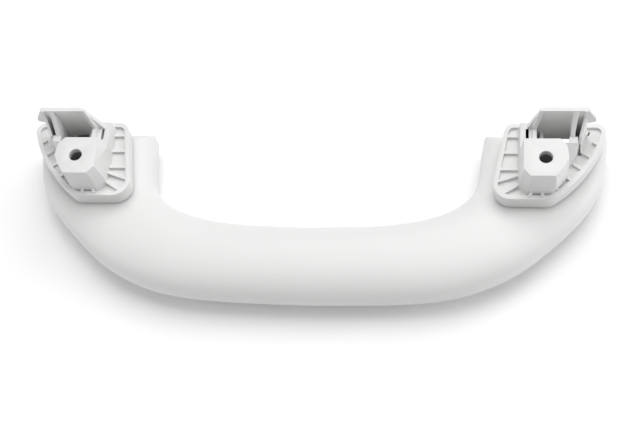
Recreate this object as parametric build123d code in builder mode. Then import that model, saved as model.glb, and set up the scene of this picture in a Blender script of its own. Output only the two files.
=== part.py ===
# Folding roof grab handle: a C-shaped grip hinged on two brackets that screw to the roof rail.
# X runs along the handle, Y from the grip bar to the hinges, Z towards the roof.
# The origin lies midway between the two screw holes, on the faces that meet the roof.
import os
from math import cos, radians, sin, tan

from build123d import *

os.makedirs("parts", exist_ok=True)

# Roof fixing
screw_spacing = 190.0
screw_hole_dia = 5.5
screw_seat = 3.0
screw_cup_dia = 12.8
hole_x = screw_spacing / 2

# Bracket flange: a ribbed plate just below the rim, whose skirt presses the headliner
rim_drop = 12.5
rim_height = 7.0
rim_wall = 1.8
rib_depth = 1.3
plate_wall = 2.0
rim_top = -rim_drop
flange_bottom = rim_top - rim_height
plate_top = rim_top - rib_depth
plate_bottom = plate_top - plate_wall

# Flange outline, measured from the screw hole
flange_low = -12.0
flange_high = 22.5
flange_inner_high = -15.8
flange_inner_low = -21.6
flange_outer_low = 2.2
flange_outer_high = 24.0
flange_belly = (17.2, 3.2)
flange_outer_straight = 18.0
flange_corner = 4.0
flange_low_corner = 7.0

# Boss around the screw: corners of its face and its foot, measured from the screw hole
boss_high = 8.3
boss_low = -8.3
boss_inner = -8.5
boss_outer = 8.9
boss_draft = 0.4
boss_skirt = 2.8
boss_apron = 1.6
boss_apron_slant = 1.5
boss_apron_top = -9.0
boss_tube_wall = 1.6
boss_corners = ((3.3, 3.0), (0.7, 8.3), (1.8, 3.9), (5.0, 0.0), (2.7, 3.2))

# Ribs between boss and rim: rows on the inner and outer sides and a fan below
rib_wall = 1.1
rib_rise = 1.5
rib_slope_length = 10.0
inner_rib_foot = -6.0
inner_rib_heights = (16.6, 9.1, 1.5)
low_rib_feet = ((-5.5, 0.2), (-4.6, -2.0), (-3.6, -5.4), (-1.0, -5.0))
low_rib_angles = (-162.5, -148.5, -115.0, -91.0)
outer_rib_foot = (3.1, -6.0)
outer_rib_step = (3.9, 5.1)
outer_rib_angle = -38.0
outer_rib_turn = 1.2
outer_rib_count = 5

# Tower behind the boss, measured from the screw hole
tower_top = 5.8
tower_far = 19.0
tower_wall = 1.7
tower_inner_top = -0.8
tower_inner_bend = (-3.8, 1.0)
tower_inner_foot = (-7.3, -7.7)
inner_wall = 1.6
inner_wall_foot = -3.5
inner_wall_bend = -4.5
inner_wall_step = (15.3, -4.8)
outer_wall_top = (10.7, 12.9)
outer_wall_foot = (9.7, 11.4)
outer_wall_bend = -2.0
outer_wall_run = ((15.5, 2.0), (13.0, -1.0), (11.0, -4.0))
buttress_outer = (12.5, 9.4)
buttress_run = ((8.6, -4.0), (2.5, -13.0))
platform_end = 20.0
overlap = 0.5

# Snap finger and barb
finger_outer = 16.3
finger_wall = 1.1
finger_angle = -107.0
finger_run = ((2.2, 2.0), (4.8, -0.5), (8.0, -3.5), (9.5, -13.0))
barb_corners = ((19.4, -0.3), (19.5, -2.2), (16.9, -3.2))

# Openings in the plate: the well with its web, the slots of the moulding tool and a rib cell
well_web_place = -1.5
well_web_wall = 1.4
well_web_rise = 2.5
barb_hole = ((15.7, 15.6), (16.6, 15.6), (17.9, 19.3), (17.1, 19.3))
inner_slot = ((-7.8, 11.8), (-6.6, 11.8), (-6.6, 17.1), (-7.8, 17.1))
finger_slot = ((11.7, 17.1), (14.6, 17.1), (13.3, 12.6), (12.8, 12.6))
finger_hole = ((12.7, 8.5), (14.5, 8.5), (13.4, 11.5))

# Hinge
knuckle_radius = 9.0
arm_clearance = 0.4
grip_end = 24.5
pin_dia = 4.0
running_gap = 0.05
press_gap = 0.01
lug_radius = 5.0
lug_wall = 3.2
lug_inner = -13.6
lug_outer = 11.6
hinge_y = grip_end - knuckle_radius
arm_rear = flange_bottom - arm_clearance
hinge_z = arm_rear - knuckle_radius

# Grip plan: the arm ends, measured from the screw hole, and the edges that bow out from the middle
arm_inner = -24.8
arm_outer = 26.43
arm_corner = 4.6
arm_corner_inset = 4.3
arm_overrun = 1.5
bar_inner = -19.3
bar_outer = -52.3
inner_bow_angle = 6.55
inner_sweep_radius = 52.0
inner_sweep_angle = 26.8
inner_bend_radius = 17.0
inner_lean = 5.4
outer_bow_angle = 4.08
outer_sweep_radius = 80.0
outer_sweep_angle = 43.0
outer_straight = 16.0
outer_shoulder_radius = 40.0
outer_lean = 8.0

# Grip section
bar_rear = -17.2
bar_fullness = 0.6
arm_fullness = 0.81
grip_front = hinge_z - knuckle_radius

# Hinge pin, measured from the screw hole
pin_seat = 3.8
pin_recess = 2.03
pin_chamfer = 0.4
pin_inner = arm_inner + pin_seat
pin_outer = arm_outer - pin_recess

# Pocket in each arm
pocket_lap = 1.2
pocket_inner_wall = 9.6
pocket_outer_wall = 9.23
pocket_inner = arm_inner + pocket_inner_wall
pocket_outer = arm_outer - pocket_outer_wall
pocket_gap = 0.7
pocket_floor = hinge_z - lug_radius - pocket_gap

# Return spring, right end
wire_dia = 1.4
wire_sides = 8
coil_radius = 3.6
coil_turns = 4.25
coil_pitch = 1.75
coil_start = -5.0
spring_leg = 12.5
spring_anchor_depth = 1.5
catch_length = 3.5
catch_width = 6.0
catch_centre = 9.5
catch_height = 6.2

# Rotary damper, left end
damper_radius = 5.2
damper_bore = 4.0
damper_inner = -9.0
damper_outer = 8.6
damper_end_wall = 1.8
rotor_radius = 3.7
rotor_hub_radius = 2.9
rotor_shoulder = 5.0
rotor_stub = 1.0
seal_width = 1.0
seal_side_gap = 0.1
damper_key = 5.0
damper_key_place = 3.0
key_clearance = 0.1

# Screw caps
cap_rim_radius = 7.4
cap_rim_wall = 1.3
cap_skirt = 3.2
cap_skirt_wall = 1.0
cap_edge = 0.5
cap_notch = (3.0, 1.2, 0.6)


def flange_outline(height, inset=0.0):
    """The flange's outline at a height, drawn inwards by the inset."""
    with BuildSketch(Plane.XY.offset(height)) as sketch:
        with BuildLine():
            Polyline(
                (hole_x + flange_outer_high, flange_outer_straight),
                (hole_x + flange_outer_high, flange_high),
                (hole_x + flange_inner_high, flange_high),
                (hole_x + flange_inner_low, flange_low),
                (hole_x + flange_outer_low, flange_low),
            )
            ThreePointArc(
                (hole_x + flange_outer_low, flange_low),
                (hole_x + flange_belly[0], flange_belly[1]),
                (hole_x + flange_outer_high, flange_outer_straight),
            )
        make_face()
        fillet(sketch.vertices().group_by(Axis.Y)[0], flange_low_corner)
        fillet(sketch.vertices().group_by(Axis.Y)[-1], flange_corner)
        if inset:
            offset(amount=-inset, kind=Kind.INTERSECTION)
    return sketch.sketch


def boss_outline(height, draft=0.0, skirt=0.0, apron=0.0):
    """The boss's cut-cornered outline at a height, widened on its outer, inner and near sides."""
    left = hole_x + boss_inner - skirt
    right = hole_x + boss_outer + draft
    low = boss_low - draft - apron
    high_cut, side_cut, low_cut, foot_cut, inner_cut = boss_corners
    with BuildSketch(Plane.XY.offset(height)) as sketch:
        with BuildLine():
            Polyline(
                (left, boss_high),
                (left, low + inner_cut[1]),
                (left + inner_cut[0] + skirt / 2, low),
                (right - foot_cut[0] - boss_apron_slant * apron, low + foot_cut[1]),
                (right - low_cut[0], -low_cut[1]),
                (right, low + side_cut[1]),
                (right - side_cut[0], boss_high - high_cut[1]),
                (right - high_cut[0], boss_high),
                close=True,
            )
        make_face()
    return sketch.sketch


def upright(u, y, height, angle):
    """A vertical plane that starts beside the screw hole and runs in a stated direction."""
    run = (cos(radians(angle)), sin(radians(angle)), 0)
    return Plane((hole_x + u, y, height), x_dir=run, z_dir=(run[1], -run[0], 0))


def rib(foot, angle, rise=0.0):
    """One thin web from the boss to the rim, in a stated direction, that may rise towards the boss."""
    with BuildPart() as web:
        with BuildSketch(upright(foot[0], foot[1], plate_bottom, angle)):
            with BuildLine():
                Polyline(
                    (0, 0), (flange_outer_high, 0), (flange_outer_high, rim_top - plate_bottom),
                    (rib_slope_length, rim_top - plate_bottom), (0, rim_top - plate_bottom + rise), close=True,
                )
            make_face()
        extrude(amount=rib_wall / 2, both=True)
    return web.part


webs = [rib((inner_rib_foot, height), 180) for height in inner_rib_heights]
webs += [rib(foot, angle, rib_rise) for foot, angle in zip(low_rib_feet, low_rib_angles)]
webs += [
    rib((outer_rib_foot[0] + outer_rib_step[0] * i, outer_rib_foot[1] + outer_rib_step[1] * i),
        outer_rib_angle + outer_rib_turn * i)
    for i in range(outer_rib_count)
]
rib_limit = flange_outline(plate_bottom, rim_wall / 2)
with BuildPart() as ribs:
    add(webs)
    add(rib_limit)
    extrude(amount=rim_top + rib_rise - plate_bottom, mode=Mode.INTERSECT)


def tower_wall_solid(cross, run):
    """A tower wall with the cross-section (u, z) and, along Y, the falling top edge (y, z)."""
    with BuildPart() as wall:
        with BuildSketch(Plane.XZ.offset(-tower_far + overlap)):
            with BuildLine():
                Polyline([(hole_x + u, z) for u, z in cross], close=True)
            make_face()
        extrude(amount=tower_far - boss_high)
        with BuildSketch(Plane.YZ.offset(hole_x)):
            with BuildLine():
                Polyline(
                    (tower_far, plate_bottom), (tower_far, tower_top), (tower_far - tower_wall, tower_top),
                    *run, (run[-1][0], plate_bottom), close=True,
                )
            make_face()
        extrude(amount=tower_far, both=True, mode=Mode.INTERSECT)
    return wall.part


# Walls on the two sides of the tower, both leaning outwards at the top
inner_wall_profile = [
    (inner_wall_foot - inner_wall, plate_bottom), (inner_wall_foot, plate_bottom),
    (inner_wall_foot, inner_wall_bend), (tower_inner_top, tower_top),
    (tower_inner_top - inner_wall, tower_top), (inner_wall_foot - inner_wall, inner_wall_bend),
]
outer_wall_profile = [
    (outer_wall_foot[0], plate_bottom), (outer_wall_foot[1], plate_bottom),
    (outer_wall_foot[1], outer_wall_bend), (outer_wall_top[1], tower_top),
    (outer_wall_top[0], tower_top), (outer_wall_foot[0], outer_wall_bend),
]
tower_walls = [
    tower_wall_solid(inner_wall_profile, [inner_wall_step, (boss_high - overlap, inner_wall_step[1])]),
    tower_wall_solid(outer_wall_profile, outer_wall_run),
]

with BuildPart() as buttress:
    with BuildSketch(Plane.XY.offset(plate_bottom)):
        with BuildLine():
            Polyline(
                (hole_x, buttress_run[1][0]), (hole_x, boss_high + overlap),
                (hole_x + outer_wall_foot[0] - overlap, boss_high + overlap),
                (hole_x + outer_wall_foot[0] - overlap, outer_wall_run[-1][0] + overlap),
                (hole_x + buttress_outer[0], outer_wall_run[-1][0] + overlap),
                (hole_x + buttress_outer[0], buttress_run[0][0]),
                (hole_x + buttress_outer[1], buttress_run[1][0]), close=True,
            )
        make_face()
    extrude(amount=buttress_run[0][1] - plate_bottom)
    with BuildSketch(Plane.YZ.offset(hole_x)):
        with BuildLine():
            Polyline(
                (outer_wall_run[-1][0] + overlap, plate_bottom),
                (outer_wall_run[-1][0] + overlap, buttress_run[0][1]),
                *buttress_run, (buttress_run[-1][0], plate_bottom), close=True,
            )
        make_face()
    extrude(amount=buttress_outer[0], mode=Mode.INTERSECT)

# The right bracket: flange, ribs, boss, tower with snap finger, and hinge lugs
tray_plan = flange_outline(flange_bottom)
tray_above = flange_outline(plate_top, rim_wall)
tray_below = flange_outline(flange_bottom, rim_wall)
boss_skirt_share = boss_apron_top / plate_bottom
boss_sections = [
    boss_outline(plate_bottom, boss_draft, boss_skirt, boss_apron),
    boss_outline(boss_apron_top, boss_draft * boss_skirt_share, boss_skirt * boss_skirt_share),
    boss_outline(0),
]
well_low = boss_high + overlap
well_high = tower_far - tower_wall
with BuildPart() as bracket:
    add(tray_plan)
    extrude(amount=rim_height)
    add(tray_above)
    extrude(amount=rib_depth, mode=Mode.SUBTRACT)
    add(tray_below)
    extrude(amount=plate_bottom - flange_bottom, mode=Mode.SUBTRACT)
    add(ribs.part)
    add(boss_sections)
    loft(ruled=True)
    with BuildSketch(Plane.XY.offset(flange_bottom)):
        with Locations((hole_x, 0)):
            Circle(screw_cup_dia / 2 + boss_tube_wall)
    extrude(amount=plate_bottom - flange_bottom)

    # Far wall of the tower with the barb at its outer end
    with BuildSketch(Plane.XZ.offset(-tower_far)):
        with BuildLine():
            Polyline(
                [(hole_x + u, z) for u, z in (
                    (tower_inner_foot[0], plate_bottom), tower_inner_foot, tower_inner_bend,
                    (tower_inner_top, tower_top), (finger_outer, tower_top), *barb_corners,
                    (finger_outer - finger_wall, barb_corners[-1][1]), (finger_outer - finger_wall, plate_bottom),
                )],
                close=True,
            )
        make_face()
    extrude(amount=tower_wall)
    add(tower_walls)

    # Platform that carries the tower's inner side, running on from the boss's sloped skirt
    with BuildSketch(Plane.XZ.offset(-platform_end)):
        with BuildLine():
            Polyline(
                [(hole_x + u, z) for u, z in (
                    (boss_inner - boss_skirt, plate_bottom), (inner_wall_foot - overlap, plate_bottom),
                    (inner_wall_foot - overlap, tower_inner_foot[1]),
                    (boss_inner - boss_skirt / 2, tower_inner_foot[1]),
                )],
                close=True,
            )
        make_face()
    extrude(amount=platform_end - boss_high + overlap)

    # Buttress that joins the outer wall to the boss and slopes down beside it
    add(buttress.part)

    # Snap finger, a thin leaf that runs from the far wall towards the rim
    with BuildSketch(upright(finger_outer, tower_far - overlap, 0, finger_angle)):
        with BuildLine():
            Polyline([(0, plate_bottom), (0, tower_top), (tower_wall, tower_top), *finger_run,
                      (finger_run[-1][0], plate_bottom)], close=True)
        make_face()
    extrude(amount=finger_wall)

    # Openings through the plate
    with BuildSketch(Plane.XY.offset(plate_bottom)):
        with Locations((hole_x + (inner_wall_foot + outer_wall_foot[0]) / 2, (well_low + well_high) / 2)):
            Rectangle(outer_wall_foot[0] - inner_wall_foot, well_high - well_low)
        for corners in (barb_hole, inner_slot, finger_slot, finger_hole):
            with BuildLine():
                Polyline([(hole_x + u, y) for u, y in corners], close=True)
            make_face()
    extrude(amount=tower_inner_foot[1] - plate_bottom, mode=Mode.SUBTRACT)

    # Web across the well
    with BuildSketch(Plane.XY.offset(plate_bottom)):
        with Locations((hole_x + well_web_place, (boss_high + well_high) / 2)):
            Rectangle(well_web_wall, well_high - boss_high + 2 * overlap)
    extrude(amount=rim_top + well_web_rise - plate_bottom)

    # Hinge lugs below the plate
    for start in (lug_inner, lug_outer):
        with BuildSketch(Plane.YZ.offset(hole_x + start)):
            with Locations((hinge_y, (hinge_z + plate_bottom + overlap) / 2)):
                Rectangle(2 * lug_radius, plate_bottom + overlap - hinge_z)
            with Locations((hinge_y, hinge_z)):
                Circle(lug_radius)
                Circle(pin_dia / 2 + running_gap, mode=Mode.SUBTRACT)
        extrude(amount=lug_wall)

    # Screw hole with the deep cup that takes the screw head from the front
    with Locations(Plane((hole_x, 0, flange_bottom), z_dir=(0, 0, -1))):
        CounterBoreHole(
            radius=screw_hole_dia / 2,
            counter_bore_radius=screw_cup_dia / 2,
            counter_bore_depth=-flange_bottom - screw_seat,
            depth=-flange_bottom,
        )


# Path of the return spring: a coil around the right hinge whose two legs leave it tangentially
coil_frame = Plane((hole_x + coil_start, hinge_y, hinge_z), x_dir=(0, 0, -1), z_dir=(1, 0, 0))
coil = coil_frame.location * Helix(coil_pitch, coil_turns * coil_pitch, coil_radius)
lower_leg = Plane(coil @ 0, z_dir=coil % 0 * -1)
upper_leg = Plane(coil @ 1, z_dir=coil % 1)
anchor_length = (plate_bottom + spring_anchor_depth - hinge_z) / (coil % 1).Z

# Right bracket, with the hole that anchors the spring's upper leg
with BuildPart() as right_bracket:
    add(bracket.part)
    with BuildSketch(upper_leg):
        Circle(wire_dia / 2 + running_gap)
    extrude(amount=anchor_length, mode=Mode.SUBTRACT)
right_bracket.part.label = "right_bracket"
export_step(right_bracket.part, "parts/right_bracket.step")

# Left bracket, the mirror image without the spring's hole
with BuildPart() as left_bracket:
    mirror(bracket.part, about=Plane.YZ)
left_bracket.part.label = "left_bracket"
export_step(left_bracket.part, "parts/left_bracket.step")


def bowed_edge(start_y, end_x, lean, bow_angle, sweep, straight, bend_radius):
    """A plan edge of tangent arcs from the middle to the arm end, its first radius found to meet the end."""
    tilt = tan(radians(lean))
    headings = [0, bow_angle, bow_angle + sweep[1], 90 - lean]
    sines = [sin(radians(heading)) for heading in headings]
    cosines = [cos(radians(heading)) for heading in headings]
    reach, climb = straight * cosines[2], straight * sines[2]
    for i, radius in ((1, sweep[0]), (2, bend_radius)):
        reach += radius * (sines[i + 1] - sines[i])
        climb += radius * (cosines[i] - cosines[i + 1])
    bow_radius = (end_x - reach - (grip_end - start_y - climb) * tilt) / (sines[1] - (1 - cosines[1]) * tilt)
    with BuildLine() as edge:
        bow = JernArc((0, start_y), (1, 0), bow_radius, bow_angle)
        curve = JernArc(bow @ 1, bow % 1, *sweep)
        place, heading = curve @ 1, curve % 1
        if straight:
            place = Line(place, place + heading * straight) @ 1
        bend = JernArc(place, heading, bend_radius, headings[3] - headings[2])
        Line(bend @ 1, (end_x + arm_overrun * tilt, grip_end + arm_overrun))
    return edge.wire()


# Plan edges of the grip's right half
inner_edge = bowed_edge(
    bar_inner, hole_x + arm_inner, inner_lean,
    inner_bow_angle, (inner_sweep_radius, inner_sweep_angle), 0, inner_bend_radius,
)
outer_edge = bowed_edge(
    bar_outer, hole_x + arm_outer, outer_lean,
    outer_bow_angle, (outer_sweep_radius, outer_sweep_angle), outer_straight, outer_shoulder_radius,
)

# Stations along the two edges, as shares of their lengths, with the share of the way from bar to arm
stations = [
    (0.0, 0.0, 0.0), (0.193, 0.127, 0.0), (0.375, 0.268, 0.05), (0.527, 0.407, 0.2), (0.628, 0.543, 0.5),
    (0.70, 0.645, 0.93), (0.77, 0.753, 1.0), (0.84, 0.833, 1.0), (0.922, 0.932, 1.0), (1.0, 1.0, 1.0),
]


def grip_section(side, station):
    """One closed section of the grip, on the plane that joins matching points of the two edges."""
    inner = inner_edge @ station[0]
    outer = outer_edge @ station[1]
    inner = Vector(inner.X * side, inner.Y)
    outer = Vector(outer.X * side, outer.Y)
    across = (inner - outer).normalized()
    blend = station[2]
    rear = bar_rear + (arm_rear - bar_rear) * blend
    fullness = bar_fullness + (arm_fullness - bar_fullness) * blend
    half_width = (inner - outer).length / 2
    half_depth = (rear - grip_front) / 2
    middle = (inner + outer) / 2
    frame = Plane(
        (middle.X, middle.Y, (rear + grip_front) / 2), x_dir=(across.X, across.Y, 0), z_dir=(across.Y, -across.X, 0)
    )
    with BuildSketch(frame) as sketch:
        with BuildLine():
            for u, v in ((1, 1), (-1, 1), (-1, -1), (1, -1)):
                Bezier(
                    (half_width * u, 0), (half_width * u, half_depth * fullness * v),
                    (half_width * fullness * u, half_depth * v), (0, half_depth * v),
                )
        make_face()
    return sketch.sketch


lapped_plan = flange_outline(0, pocket_lap)
with BuildPart() as pocket:
    with BuildSketch() as pocket_plan:
        add(lapped_plan)
        with Locations((hole_x + (pocket_inner + pocket_outer) / 2, 0)):
            Rectangle(pocket_outer - pocket_inner, 4 * flange_high, mode=Mode.INTERSECT)
        with Locations((hole_x + (pocket_inner + pocket_outer) / 2, grip_end)):
            Rectangle(pocket_outer - pocket_inner, 2 * (grip_end - hinge_y))
    extrude(amount=pocket_floor, both=True)
    split(bisect_by=Plane.XY.offset(pocket_floor), keep=Keep.TOP)

# The right half starts a little beyond the middle, so that its surface runs smoothly across it
sections = [grip_section(-1, station) for station in (stations[2], stations[1])]
sections += [grip_section(1, station) for station in stations]
with BuildPart() as right_half:
    add(sections)
    loft()
    split(bisect_by=Plane.YZ)

with BuildPart() as arm_corners:
    with BuildSketch(Plane.XY.offset(grip_front)):
        for edge, lean, side in ((arm_inner, inner_lean, -1), (arm_outer, outer_lean, 1)):
            centre_x = hole_x + edge - arm_corner_inset * (side + tan(radians(lean)))
            centre_y = grip_end - arm_corner_inset
            with Locations((centre_x + side * arm_corner, centre_y + arm_corner)):
                Rectangle(2 * arm_corner, 2 * arm_corner)
            with Locations((centre_x, centre_y)):
                Circle(arm_corner, mode=Mode.SUBTRACT)
    extrude(amount=2 * knuckle_radius)

with BuildPart() as grip:
    add(right_half.part)
    mirror(right_half.part, about=Plane.YZ)

    # Round knuckles at the arm ends
    with BuildSketch(Plane.YZ):
        with Locations((hinge_y + 2 * knuckle_radius, hinge_z)):
            Rectangle(4 * knuckle_radius, 4 * knuckle_radius)
        with Locations((hinge_y, hinge_z)):
            Circle(knuckle_radius, mode=Mode.SUBTRACT)
    extrude(amount=screw_spacing, both=True, mode=Mode.SUBTRACT)

    # Rounded corners at the arm ends
    add(arm_corners.part, mode=Mode.SUBTRACT)
    mirror(arm_corners.part, about=Plane.YZ, mode=Mode.SUBTRACT)

    # Pockets under the flanges, open to the rear and at the arm ends
    add(pocket.part, mode=Mode.SUBTRACT)
    mirror(pocket.part, about=Plane.YZ, mode=Mode.SUBTRACT)

    # Post in the right pocket that catches the spring's lower leg
    with BuildSketch(Plane.XY.offset(pocket_floor - overlap)):
        with Locations((hole_x + coil_start, hinge_y - catch_centre)):
            Rectangle(catch_width, catch_length)
    extrude(amount=catch_height + overlap)
    with BuildSketch(lower_leg):
        Circle(wire_dia / 2 + running_gap)
    extrude(amount=catch_centre + catch_length, mode=Mode.SUBTRACT)

    # Blind bores for the hinge pins, driven in from the outer sides
    for side in (-1, 1):
        with BuildSketch(Plane.YZ.offset(side * (hole_x + pin_inner))):
            with Locations((hinge_y, hinge_z)):
                Circle(pin_dia / 2 + press_gap)
        extrude(amount=side * (arm_outer + overlap - pin_inner), mode=Mode.SUBTRACT)
grip.part.label = "grip"
export_step(grip.part, "parts/grip.step")

# Hinge pins, pressed into the grip and turning in the bracket lugs
with BuildPart() as right_hinge_pin:
    with BuildSketch(Plane.YZ.offset(hole_x + pin_inner)):
        with Locations((hinge_y, hinge_z)):
            Circle(pin_dia / 2)
    extrude(amount=pin_outer - pin_inner)
    chamfer(right_hinge_pin.edges(), pin_chamfer)
right_hinge_pin.part.label = "right_hinge_pin"
export_step(right_hinge_pin.part, "parts/right_hinge_pin.step")

with BuildPart() as left_hinge_pin:
    mirror(right_hinge_pin.part, about=Plane.YZ)
left_hinge_pin.part.label = "left_hinge_pin"
export_step(left_hinge_pin.part, "parts/left_hinge_pin.step")

# Return spring, a torsion coil around the right pin with one leg in the flange and one in the grip
with BuildPart() as return_spring:
    with BuildSketch(Plane(coil @ 0, z_dir=coil % 0)):
        RegularPolygon(wire_dia / 2, wire_sides)
    sweep(path=coil, is_frenet=True)
    for leg, length in ((lower_leg, spring_leg), (upper_leg, anchor_length - running_gap)):
        with BuildSketch(leg):
            Circle(wire_dia / 2)
        extrude(amount=length)
return_spring.part.label = "return_spring"
export_step(return_spring.part, "parts/return_spring.step")


def turned(profile):
    """Turns rectangles of (start, end, inner radius, outer radius) about the hinge at the left end."""
    with BuildPart() as body:
        for start, end, inner, outer in profile:
            with BuildSketch(Plane.XY.offset(hinge_z)):
                with Locations((-hole_x - (start + end) / 2, hinge_y + (inner + outer) / 2)):
                    Rectangle(end - start, outer - inner)
            revolve(axis=Axis((0, hinge_y, hinge_z), (1, 0, 0)))
    return body.part


# Rotary damper: housing keyed into the well of the left bracket, rotor driven by the pin, seal and cover
seal_start = rotor_shoulder + seal_side_gap
cover_face = seal_start + seal_width + seal_side_gap
with BuildPart() as damper_housing:
    add(turned([
        (damper_inner, damper_outer, damper_bore, damper_radius),
        (damper_inner, damper_inner + damper_end_wall, pin_dia / 2 + running_gap, damper_bore),
    ]))
    key_start = hinge_z + (damper_bore + damper_radius) / 2
    with BuildSketch(Plane.XY.offset(key_start)):
        with Locations((-hole_x - damper_key_place, (well_low + well_high) / 2)):
            Rectangle(damper_key, well_high - well_low - 2 * key_clearance)
    extrude(amount=plate_top - key_clearance - key_start)
    with BuildSketch(Plane.YZ.offset(-hole_x - damper_outer)):
        with Locations((hinge_y, hinge_z)):
            Circle(damper_bore)
    extrude(amount=damper_outer - damper_inner - damper_end_wall, mode=Mode.SUBTRACT)
damper_housing.part.label = "damper_housing"
export_step(damper_housing.part, "parts/damper_housing.step")

with BuildPart() as damper_rotor:
    add(turned([
        (damper_inner + damper_end_wall + seal_side_gap, rotor_shoulder, pin_dia / 2 + press_gap, rotor_radius),
        (rotor_shoulder, damper_outer + rotor_stub, pin_dia / 2 + press_gap, rotor_hub_radius),
    ]))
damper_rotor.part.label = "damper_rotor"
export_step(damper_rotor.part, "parts/damper_rotor.step")

with BuildPart() as damper_seal:
    add(turned([(seal_start, seal_start + seal_width, rotor_hub_radius + running_gap, damper_bore - running_gap)]))
damper_seal.part.label = "damper_seal"
export_step(damper_seal.part, "parts/damper_seal.step")

with BuildPart() as damper_cover:
    add(turned([(cover_face, damper_outer, rotor_hub_radius + running_gap, damper_bore - press_gap)]))
damper_cover.part.label = "damper_cover"
export_step(damper_cover.part, "parts/damper_cover.step")

# Caps that close the screw cups from the front
for name, side in (("left_screw_cap", -1), ("right_screw_cap", 1)):
    with BuildPart() as cap:
        with BuildSketch(Plane.XY.offset(flange_bottom - cap_rim_wall)):
            with Locations((side * hole_x, 0)):
                Circle(cap_rim_radius)
        extrude(amount=cap_rim_wall)
        chamfer(cap.faces().sort_by(Axis.Z)[0].edges(), cap_edge)
        with BuildSketch(Plane.XY.offset(flange_bottom)):
            with Locations((side * hole_x, 0)):
                Circle(screw_cup_dia / 2 - running_gap)
                Circle(screw_cup_dia / 2 - running_gap - cap_skirt_wall, mode=Mode.SUBTRACT)
        extrude(amount=cap_skirt)
        with BuildSketch(Plane.XY.offset(flange_bottom)):
            with Locations((side * hole_x, -cap_rim_radius)):
                Rectangle(cap_notch[0], 2 * cap_notch[1])
        extrude(amount=-cap_notch[2], mode=Mode.SUBTRACT)
    cap.part.label = name
    export_step(cap.part, f"parts/{name}.step")
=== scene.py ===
"""Folding roof grab handle: a moulded grip hinged on two ribbed brackets, shown from its roof side."""

from math import radians

import bmesh
import bpy
import numpy as np
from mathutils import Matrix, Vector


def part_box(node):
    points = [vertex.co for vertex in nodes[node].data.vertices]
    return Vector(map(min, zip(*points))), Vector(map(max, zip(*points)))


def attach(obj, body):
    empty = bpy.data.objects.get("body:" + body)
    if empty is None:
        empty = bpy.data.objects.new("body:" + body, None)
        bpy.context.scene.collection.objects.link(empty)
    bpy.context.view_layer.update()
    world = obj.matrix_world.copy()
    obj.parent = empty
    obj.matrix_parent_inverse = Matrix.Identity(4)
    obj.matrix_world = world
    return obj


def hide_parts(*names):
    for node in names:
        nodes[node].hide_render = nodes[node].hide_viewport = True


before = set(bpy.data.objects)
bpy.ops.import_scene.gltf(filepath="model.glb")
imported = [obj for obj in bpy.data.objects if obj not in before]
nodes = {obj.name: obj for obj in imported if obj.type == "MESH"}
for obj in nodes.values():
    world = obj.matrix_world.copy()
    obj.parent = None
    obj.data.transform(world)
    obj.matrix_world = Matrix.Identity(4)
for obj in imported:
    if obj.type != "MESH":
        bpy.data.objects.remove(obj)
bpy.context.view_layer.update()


# Brackets
# One moulding at each end, in light grey polypropylene: a shallow ribbed flange, the boss around the
# roof screw, a tower with a snap finger behind it and two hinge lugs below. Plain tool finish, no grain.


class Value:
    """A shader socket with the operators that the materials use."""

    def __init__(self, tree, socket):
        self.tree = tree
        self.socket = socket

    def _math(self, operation, *inputs):
        node = self.tree.node("ShaderNodeMath", {"operation": operation}, dict(enumerate(inputs)))
        return Value(self.tree, node.outputs[0])

    def __add__(self, other):
        return self._math("ADD", self, other)

    def __mul__(self, other):
        return self._math("MULTIPLY", self, other)

    __radd__ = __add__
    __rmul__ = __mul__


class Finish:
    """A material whose nodes are added by name, with their settings first and then their inputs."""

    def __init__(self, name):
        self.material = bpy.data.materials.new(name)
        self.material.use_nodes = True
        self.nodes = self.material.node_tree.nodes
        self.links = self.material.node_tree.links
        self.shader = self.nodes["Principled BSDF"]
        self.place = self.node("ShaderNodeTexCoord", {}, {}).outputs["Object"]

    def node(self, kind, settings, inputs):
        made = self.nodes.new(kind)
        for key, value in settings.items():
            setattr(made, key, value)
        for key, value in inputs.items():
            self.plug(made.inputs[key], value)
        return made

    def plug(self, socket, value):
        if isinstance(value, Value):
            value = value.socket
        if isinstance(value, bpy.types.NodeSocket):
            self.links.new(value, socket)
        else:
            socket.default_value = value

    def noise(self, scale, detail=2.0):
        """Noise around 0.5 over the piece, in features of 1 / scale metres."""
        inputs = {"Vector": self.place, "Scale": scale, "Detail": detail}
        return Value(self, self.node("ShaderNodeTexNoise", {}, inputs).outputs["Fac"])

    def blend(self, share, first, second):
        """The first colour going over to the second with the share."""
        made = self.node("ShaderNodeMix", {"data_type": "RGBA"}, {0: share, 6: first, 7: second})
        return made.outputs[2]

    def bump(self, height, depth, strength):
        """Relief of this height times depth in metres, at a share of its full strength."""
        made = self.node("ShaderNodeBump", {}, {"Height": height, "Distance": depth, "Strength": strength})
        self.plug(self.shader.inputs["Normal"], made.outputs[0])

    def surface(self, **inputs):
        """Sets the shader's inputs, named with _ for each space, and gives the finished material."""
        for key, value in inputs.items():
            self.plug(self.shader.inputs[key.replace("_", " ")], value)
        return self.material


def dress(piece, material):
    """Gives a piece its finish in place of any other."""
    piece.data.materials.clear()
    piece.data.materials.append(material)


weld_distance = 2e-6
flat_angle = radians(0.5)


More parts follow.
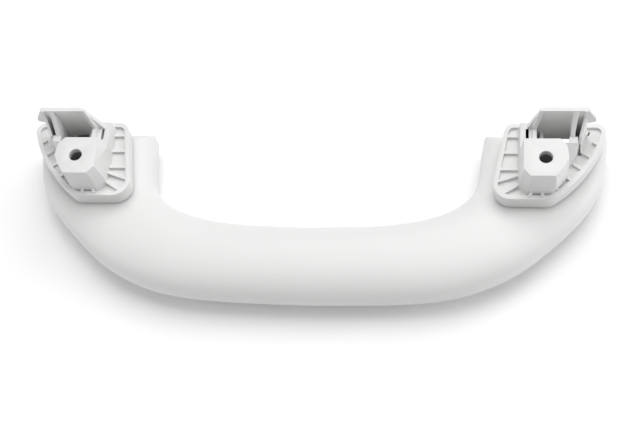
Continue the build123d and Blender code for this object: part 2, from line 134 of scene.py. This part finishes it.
def rounded(node, body, edge, crease):
    """A copy of a CAD piece with its edges rounded as a mould leaves them.

    The loose triangles are joined at their corners, flat neighbours are merged into one face, edges
    sharper than the crease angle are rounded by the edge radius, and all others are shaded smoothly."""
    shell = bmesh.new()
    shell.from_mesh(nodes[node].data)
    bmesh.ops.remove_doubles(shell, verts=shell.verts, dist=weld_distance)
    bmesh.ops.dissolve_limit(
        shell, angle_limit=flat_angle, verts=shell.verts, edges=shell.edges, delimit={"NORMAL"}
    )
    mesh = bpy.data.meshes.new(node + "_moulded")
    shell.to_mesh(mesh)
    shell.free()
    mesh.shade_smooth()
    piece = bpy.data.objects.new(node + "_moulded", mesh)
    bpy.context.scene.collection.objects.link(piece)
    bevel = piece.modifiers.new("edges", "BEVEL")
    bevel.width = edge
    bevel.segments = 3
    bevel.limit_method = "ANGLE"
    bevel.angle_limit = crease
    bevel.harden_normals = True
    bevel.miter_outer = "MITER_ARC"
    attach(piece, body)
    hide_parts(node)
    return piece


moulded = Finish("bracket_plastic")
moulded.bump(moulded.noise(1800.0), 0.00002, 0.3)
bracket_plastic = moulded.surface(
    Base_Color=moulded.blend(moulded.noise(60.0), (0.69, 0.69, 0.685, 1), (0.73, 0.73, 0.725, 1)),
    Roughness=0.42 + 0.1 * moulded.noise(220.0),
)
bracket_edge = 0.0003
bracket_crease = radians(25)
for side in ("left", "right"):
    bracket = rounded(side + "_bracket", "brackets", bracket_edge, bracket_crease)
    dress(bracket, bracket_plastic)

# Hinge pins
# Two ground steel pins pressed into the grip, each turning in the lugs of a bracket. They keep their
# CAD mesh and get bare steel with a fine uneven relief.

steel = Finish("pin_steel")
steel.bump(steel.noise(3000.0, 1.0), 0.00001, 0.2)
pin_steel = steel.surface(
    Base_Color=steel.blend(steel.noise(90.0), (0.54, 0.54, 0.53, 1), (0.64, 0.64, 0.64, 1)),
    Metallic=1.0,
    Roughness=0.24 + 0.14 * steel.noise(400.0),
)
for node in ("left_hinge_pin", "right_hinge_pin"):
    dress(nodes[node], pin_steel)

# Return spring
# A torsion spring of drawn round wire around the right pin. Its lower leg leans on a post in the grip,
# and its upper leg stands in a blind hole under the flange.


def wire_tube(path, across, along, radius, sides):
    """A closed round tube with one ring for each path point.

    A ring is path + radius * (cos a * across + sin a * along) for angles a around the wire."""
    angle = np.linspace(0, 2 * np.pi, sides, endpoint=False)[None, :, None]
    ring = path[:, None] + radius * (np.cos(angle) * across[:, None] + np.sin(angle) * along[:, None])
    index = np.arange(ring.shape[0] * sides).reshape(-1, sides)
    turned = np.roll(index, -1, axis=1)
    quads = np.stack([index[:-1], turned[:-1], turned[1:], index[1:]], axis=-1).reshape(-1, 4)
    return ring.reshape(-1, 3), quads.tolist() + [index[0][::-1].tolist(), index[-1].tolist()]


wire_radius = 0.0007
wire_sides = 20
coil_radius = 0.0036
coil_pitch = 0.00175
coil_turns = 4.25
coil_start = 0.0900
coil_points = 205
pin_low, pin_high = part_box("right_hinge_pin")
hinge_y = (pin_low.y + pin_high.y) / 2
hinge_z = (pin_low.z + pin_high.z) / 2
spring_low, spring_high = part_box("return_spring")

turn = np.linspace(0, 2 * np.pi * coil_turns, coil_points)
outward = np.stack([0 * turn, np.sin(turn), -np.cos(turn)], axis=1)
coil = coil_radius * outward + [coil_start, hinge_y, hinge_z]
coil[:, 0] += coil_pitch * turn / (2 * np.pi)
forward = np.stack(
    [0 * turn + coil_pitch / (2 * np.pi), coil_radius * np.cos(turn), coil_radius * np.sin(turn)], axis=1
)
forward /= np.linalg.norm(forward, axis=1)[:, None]
sideways = np.cross(forward, outward)
lower_end = coil[0] - forward[0] * (coil[0, 1] - spring_low.y) / forward[0, 1]
upper_end = coil[-1] + forward[-1] * (spring_high.z - coil[-1, 2]) / forward[-1, 2]
wire, wire_faces = wire_tube(
    np.vstack([lower_end, coil, upper_end]),
    np.vstack([outward[0], outward, outward[-1]]),
    np.vstack([sideways[0], sideways, sideways[-1]]),
    wire_radius,
    wire_sides,
)
spring_mesh = bpy.data.meshes.new("spring_wire")
spring_mesh.from_pydata(wire.tolist(), [], wire_faces)
spring_mesh.shade_smooth()
spring = bpy.data.objects.new("spring_wire", spring_mesh)
bpy.context.scene.collection.objects.link(spring)
drawn = Finish("spring_steel")
drawn.bump(drawn.noise(2500.0, 1.0), 0.00001, 0.2)
dress(spring, drawn.surface(
    Base_Color=drawn.blend(drawn.noise(120.0), (0.33, 0.33, 0.34, 1), (0.45, 0.45, 0.45, 1)),
    Metallic=1.0,
    Roughness=0.3 + 0.15 * drawn.noise(500.0),
))
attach(spring, "brackets")
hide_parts("return_spring")

# Damper
# A small rotary damper around the left pin: black moulded housing and cover, a rotor in natural
# acetal and a rubber seal. The housing is keyed into the well of the left bracket.

black = Finish("damper_plastic")
black.bump(black.noise(2200.0), 0.00002, 0.3)
damper_plastic = black.surface(
    Base_Color=black.blend(black.noise(80.0), (0.018, 0.018, 0.018, 1), (0.03, 0.03, 0.03, 1)),
    Roughness=0.4 + 0.12 * black.noise(300.0),
)
for node in ("damper_housing", "damper_cover"):
    dress(nodes[node], damper_plastic)

rubber = Finish("seal_rubber")
rubber.bump(rubber.noise(1500.0), 0.00002, 0.4)
seal_rubber = rubber.surface(
    Base_Color=rubber.blend(rubber.noise(150.0), (0.012, 0.012, 0.012, 1), (0.022, 0.021, 0.02, 1)),
    Roughness=0.62 + 0.15 * rubber.noise(400.0),
)
dress(nodes["damper_seal"], seal_rubber)

natural = Finish("rotor_plastic")
natural.bump(natural.noise(1800.0), 0.00002, 0.3)
rotor_plastic = natural.surface(
    Base_Color=natural.blend(natural.noise(100.0), (0.72, 0.70, 0.62, 1), (0.77, 0.75, 0.68, 1)),
    Roughness=0.35 + 0.1 * natural.noise(300.0),
)
dress(nodes["damper_rotor"], rotor_plastic)

# Grip
# One smooth moulding in light grey plastic with a fine satin grain, hinged at both arm ends. Its CAD
# mesh is copied with the edges of its arms and pockets rounded.

grained = Finish("grip_plastic")
grained.bump(grained.noise(2600.0, 3.0), 0.00003, 0.35)
grip_plastic = grained.surface(
    Base_Color=grained.blend(grained.noise(25.0), (0.72, 0.72, 0.715, 1), (0.74, 0.74, 0.735, 1)),
    Roughness=0.46 + 0.08 * grained.noise(150.0),
)
grip_edge = 0.0004
grip_crease = radians(35)
grip = rounded("grip", "folding_grip", grip_edge, grip_crease)
dress(grip, grip_plastic)

# Screw caps
# Press-in lids in the grip's own plastic, which close the screw cups from the cabin side. They keep
# their CAD mesh.

for node in ("left_screw_cap", "right_screw_cap"):
    dress(nodes[node], grip_plastic)

# Ground, light and camera
# The handle lies front down on a white sheet, under a large soft light from above and behind and
# three weak ones from the sides and the front. The camera stands as in the photograph.

floor_reach = 1.5
floor_gap = 0.0002
floor_mesh = bpy.data.meshes.new("floor")
corners = [(floor_reach * x, floor_reach * y, 0) for x, y in ((-1, -1), (1, -1), (1, 1), (-1, 1))]
floor_mesh.from_pydata(corners, [], [(0, 1, 2, 3)])
floor = bpy.data.objects.new("floor", floor_mesh)
floor.location = (0, 0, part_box("grip")[0].z - floor_gap)
bpy.context.scene.collection.objects.link(floor)
paper = Finish("floor_white")
floor_mesh.materials.append(paper.surface(Base_Color=(0.95, 0.95, 0.95, 1), Roughness=0.9))


def softbox(name, place, size, power):
    """A square area light that looks at the handle."""
    light = bpy.data.lights.new(name, "AREA")
    light.size = size
    light.energy = power
    lamp = bpy.data.objects.new(name, light)
    lamp.location = place
    lamp.rotation_euler = (-Vector(place)).to_track_quat("-Z", "Y").to_euler()
    bpy.context.scene.collection.objects.link(lamp)


softbox("key", (0.1, 0.45, 0.9), 1.0, 9.5)
softbox("right", (0.95, 0.0, 0.28), 0.5, 3.4)
softbox("left", (-0.8, -0.2, 0.35), 0.5, 1.6)
softbox("front", (0, -0.9, 0.2), 0.4, 0.4)

world = bpy.data.worlds.new("studio")
world.use_nodes = True
room = world.node_tree.nodes["Background"]
room.inputs["Color"].default_value = (1, 1, 1, 1)
room.inputs["Strength"].default_value = 0.34
bpy.context.scene.world = world
bpy.context.scene.view_settings.view_transform = "Standard"

camera = bpy.data.objects.new("camera", bpy.data.cameras.new("camera"))
camera.data.lens = 72.86
camera.location = (0.08240, -0.25167, 0.44391)
camera.rotation_euler = [radians(angle) for angle in (27.326, 7.233, 4.445)]
bpy.context.scene.collection.objects.link(camera)
bpy.context.scene.camera = camera
